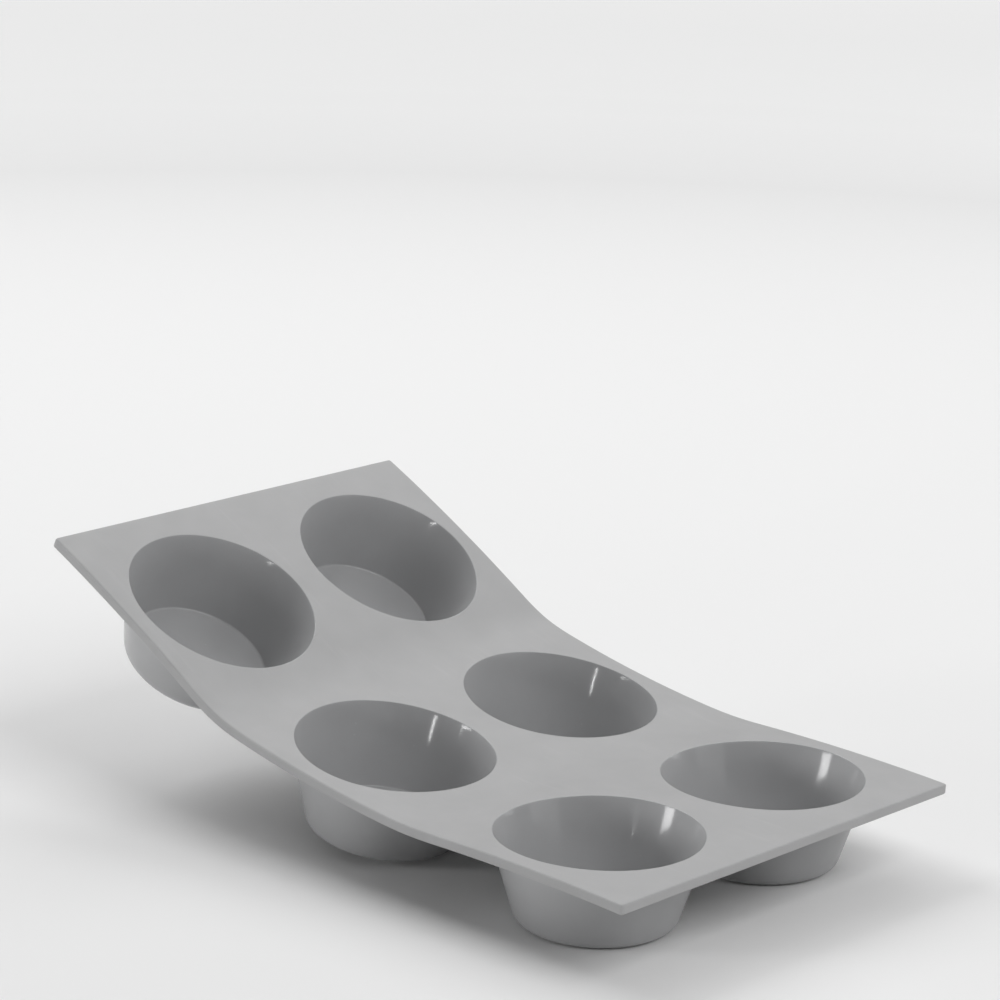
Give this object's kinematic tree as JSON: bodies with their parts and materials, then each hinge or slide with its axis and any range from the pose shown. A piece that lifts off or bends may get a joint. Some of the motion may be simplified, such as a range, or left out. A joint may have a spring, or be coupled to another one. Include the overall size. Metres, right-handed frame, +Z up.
{
  "type": "silicone soap mould",
  "caption": "Flexible rectangular mould sheet with rows of round tapered cups that bends between its rows and presses out at the cup floors.",
  "frame": {"origin": "centre of the bounding box in plan, on the plane under the cups of the resting row", "axes": "+X along the sheet from the lifted row to the resting row, +Y across the rows from front to back, +Z up out of the mouths"},
  "size_m": [0.2886, 0.177, 0.0946],
  "materials": {
    "silicone": "satin"
  },
  "bodies": {
    "row_3": {"sheet_row_3": "silicone", "web_2_3_resting_half": "silicone", "cup_wall_3_front": "silicone", "cup_wall_3_back": "silicone"},
    "row_2": {"sheet_row_2": "silicone", "web_1_2_middle_half": "silicone", "web_2_3_middle_half": "silicone", "cup_wall_2_front": "silicone", "cup_wall_2_back": "silicone"},
    "row_1": {"sheet_row_1": "silicone", "web_1_2_lifted_half": "silicone", "cup_wall_1_front": "silicone", "cup_wall_1_back": "silicone"},
    "floor_1_front": {"cup_floor_1_front": "silicone"},
    "floor_1_back": {"cup_floor_1_back": "silicone"},
    "floor_2_front": {"cup_floor_2_front": "silicone"},
    "floor_2_back": {"cup_floor_2_back": "silicone"},
    "floor_3_front": {"cup_floor_3_front": "silicone"},
    "floor_3_back": {"cup_floor_3_back": "silicone"}
  },
  "joints": [
    {"name": "web_2_3_bend", "type": "hinge", "parent": "row_3", "child": "row_2", "pos_m": [0.04426, 0, 0.03035], "axis": [0, 1, 0], "range_deg": [-70, 100], "stiffness_Nm_per_rad": 1.5},
    {"name": "web_1_2_bend", "type": "hinge", "parent": "row_2", "child": "row_1", "pos_m": [-0.05486, 0, 0.0465], "axis": [0, 1, 0], "range_deg": [-80, 90], "stiffness_Nm_per_rad": 1.5},
    {"name": "floor_1_front_press", "type": "slide", "parent": "row_1", "child": "floor_1_front", "axis": [0.4722, 0, 0.8815], "range_m": [0, 0.01], "stiffness_N_per_m": 400},
    {"name": "floor_1_back_press", "type": "slide", "parent": "row_1", "child": "floor_1_back", "axis": [0.4722, 0, 0.8815], "range_m": [0, 0.01], "stiffness_N_per_m": 400},
    {"name": "floor_2_front_press", "type": "slide", "parent": "row_2", "child": "floor_2_front", "axis": [0.1554, 0, 0.9879], "range_m": [0, 0.01], "stiffness_N_per_m": 400},
    {"name": "floor_2_back_press", "type": "slide", "parent": "row_2", "child": "floor_2_back", "axis": [0.1554, 0, 0.9879], "range_m": [0, 0.01], "stiffness_N_per_m": 400},
    {"name": "floor_3_front_press", "type": "slide", "parent": "row_3", "child": "floor_3_front", "axis": [0, 0, 1], "range_m": [0, 0.01], "stiffness_N_per_m": 400},
    {"name": "floor_3_back_press", "type": "slide", "parent": "row_3", "child": "floor_3_back", "axis": [0, 0, 1], "range_m": [0, 0.01], "stiffness_N_per_m": 400}
  ]
}
